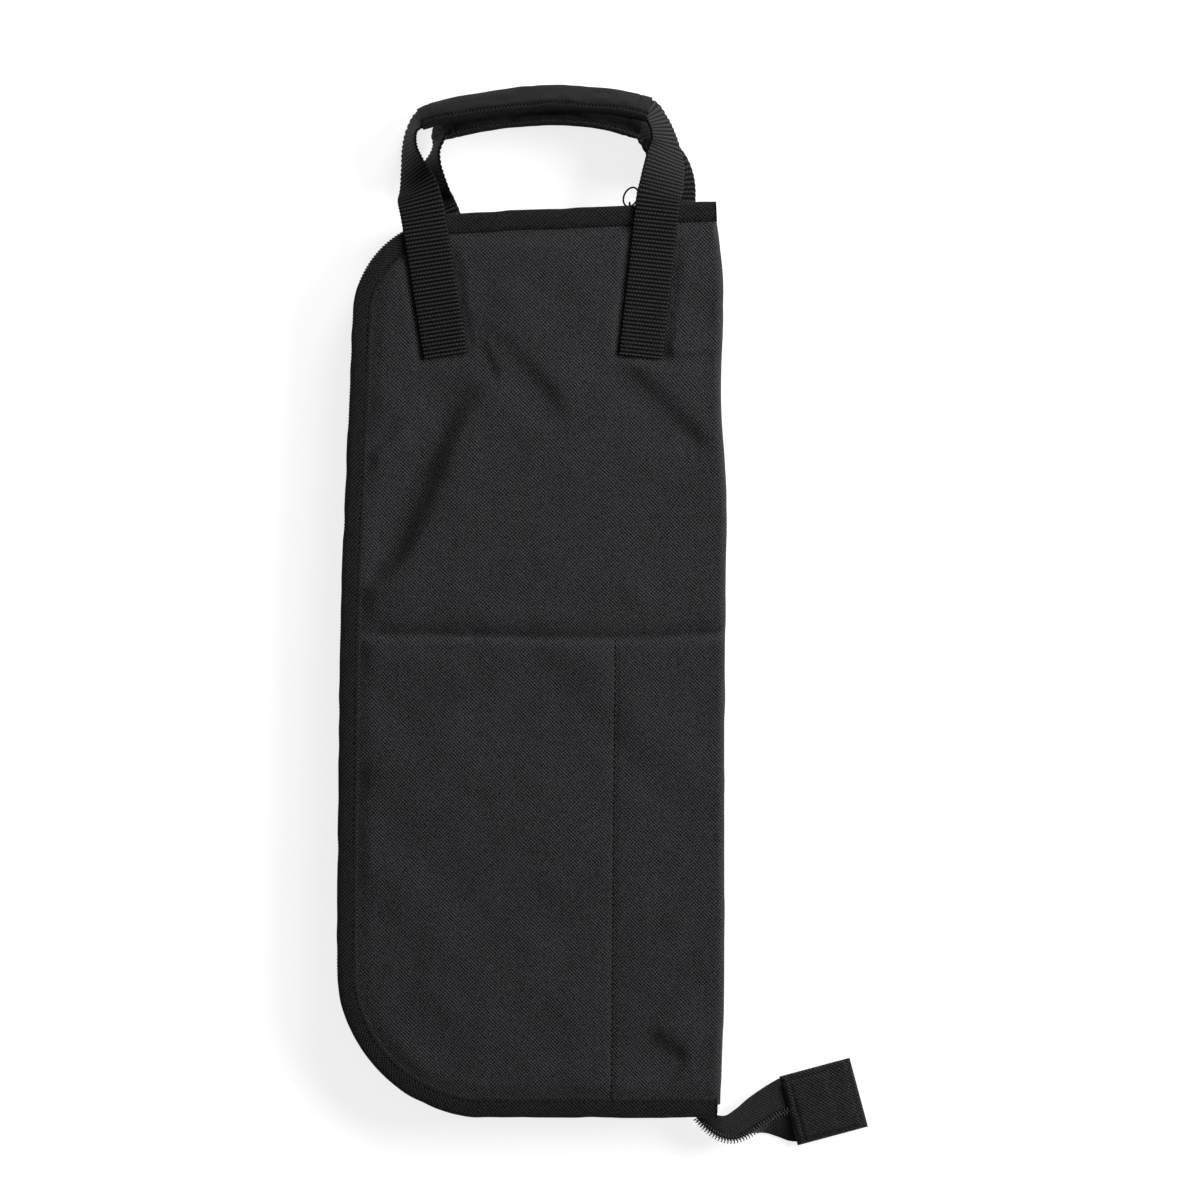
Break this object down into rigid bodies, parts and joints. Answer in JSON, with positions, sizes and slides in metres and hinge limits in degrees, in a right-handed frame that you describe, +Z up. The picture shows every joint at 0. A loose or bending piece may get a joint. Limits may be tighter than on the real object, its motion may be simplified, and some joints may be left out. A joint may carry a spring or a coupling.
{
  "type": "drum stick bag",
  "caption": "Soft zip-round folding bag for drum sticks, with padded covers, an inner stick pocket, webbing carry handles with padded grips and a zip tail past the spine.",
  "frame": {"origin": "middle of the bag's whole footprint, on the surface it lies on, back cover down", "axes": "+Y along the bag's length towards the handles, +X towards the spine, +Z up through its thickness from the back cover to the front cover"},
  "size_m": [0.2792, 0.5577, 0.026],
  "materials": {
    "shell_fabric": "matte twill-look woven polyester",
    "lining_fabric": "plain smooth lining weave",
    "foam": "closed-cell foam",
    "binding_tape": "herringbone woven tape",
    "zip_tape": "fine woven tape",
    "zip_coil": "moulded nylon coil",
    "webbing": "ribbed woven webbing",
    "grip_fabric": "woven polyester",
    "black_metal": "satin black paint",
    "ring_wire": "black wire"
  },
  "bodies": {
    "back_cover": {"back_shell": "shell_fabric", "back_padding": "foam", "back_lining": "lining_fabric", "back_binding": "binding_tape", "back_zip_tape": "zip_tape", "back_zip_coil": "zip_coil", "back_zip_stop": "black_metal", "back_strap_end_left": "webbing", "back_strap_end_right": "webbing"},
    "spine": {"spine_shell": "shell_fabric", "spine_lining": "lining_fabric"},
    "front_cover": {"front_shell": "shell_fabric", "front_padding": "foam", "front_lining": "lining_fabric", "front_binding": "binding_tape", "front_zip_tape": "zip_tape", "front_zip_coil": "zip_coil", "front_zip_stop": "black_metal", "front_strap_end_left": "webbing", "front_strap_end_right": "webbing", "inner_pocket_panel": "lining_fabric", "inner_pocket_hem": "binding_tape"},
    "front_handle": {"front_handle_webbing": "webbing", "front_grip_padding": "foam", "front_grip_sleeve": "grip_fabric"},
    "back_handle": {"back_handle_webbing": "webbing", "back_grip_padding": "foam", "back_grip_sleeve": "grip_fabric"},
    "zip_slider": {"slider_body": "black_metal", "slider_crown": "black_metal"},
    "pull_ring": {"pull_ring": "ring_wire"},
    "zip_tail": {"tail_upper_tape": "zip_tape", "tail_lower_tape": "zip_tape", "tail_coil": "zip_coil", "tail_tab": "grip_fabric", "tail_stop": "black_metal"}
  },
  "joints": [
    {"name": "spine_fold", "type": "hinge", "parent": "back_cover", "child": "spine", "pos_m": [0.0655, 0, 0], "axis": [0, 1, 0], "range_deg": [0, 90]},
    {"name": "cover_fold", "type": "hinge", "parent": "spine", "child": "front_cover", "pos_m": [0.0655, 0, 0.026], "axis": [0, 1, 0], "range_deg": [0, 90]},
    {"name": "tail_swing", "type": "hinge", "parent": "back_cover", "child": "zip_tail", "pos_m": [0.052, -0.267, 0.013], "axis": [0, 0, -1], "range_deg": [0, 90]},
    {"name": "front_handle_swing", "type": "hinge", "parent": "front_cover", "child": "front_handle", "pos_m": [0, 0.163, 0.0261], "axis": [1, 0, 0], "range_deg": [0, 165]},
    {"name": "back_handle_swing", "type": "hinge", "parent": "back_cover", "child": "back_handle", "pos_m": [0, 0.163, -0.0001], "axis": [-1, 0, 0], "range_deg": [0, 165]},
    {"name": "slider_travel", "type": "slide", "parent": "back_cover", "child": "zip_slider", "axis": [-0.999, -0.0456, 0], "range_m": [-0.004, 0.088]},
    {"name": "ring_swing", "type": "hinge", "parent": "zip_slider", "child": "pull_ring", "pos_m": [0.0174, 0.21609, 0.013], "axis": [0.999, 0.0456, 0], "range_deg": [-75, 75]}
  ],
  "couplings": [
    {"joint": "cover_fold", "follows": "spine_fold", "ratio": 1},
    {"joint": "tail_swing", "follows": "spine_fold", "ratio": 1}
  ]
}
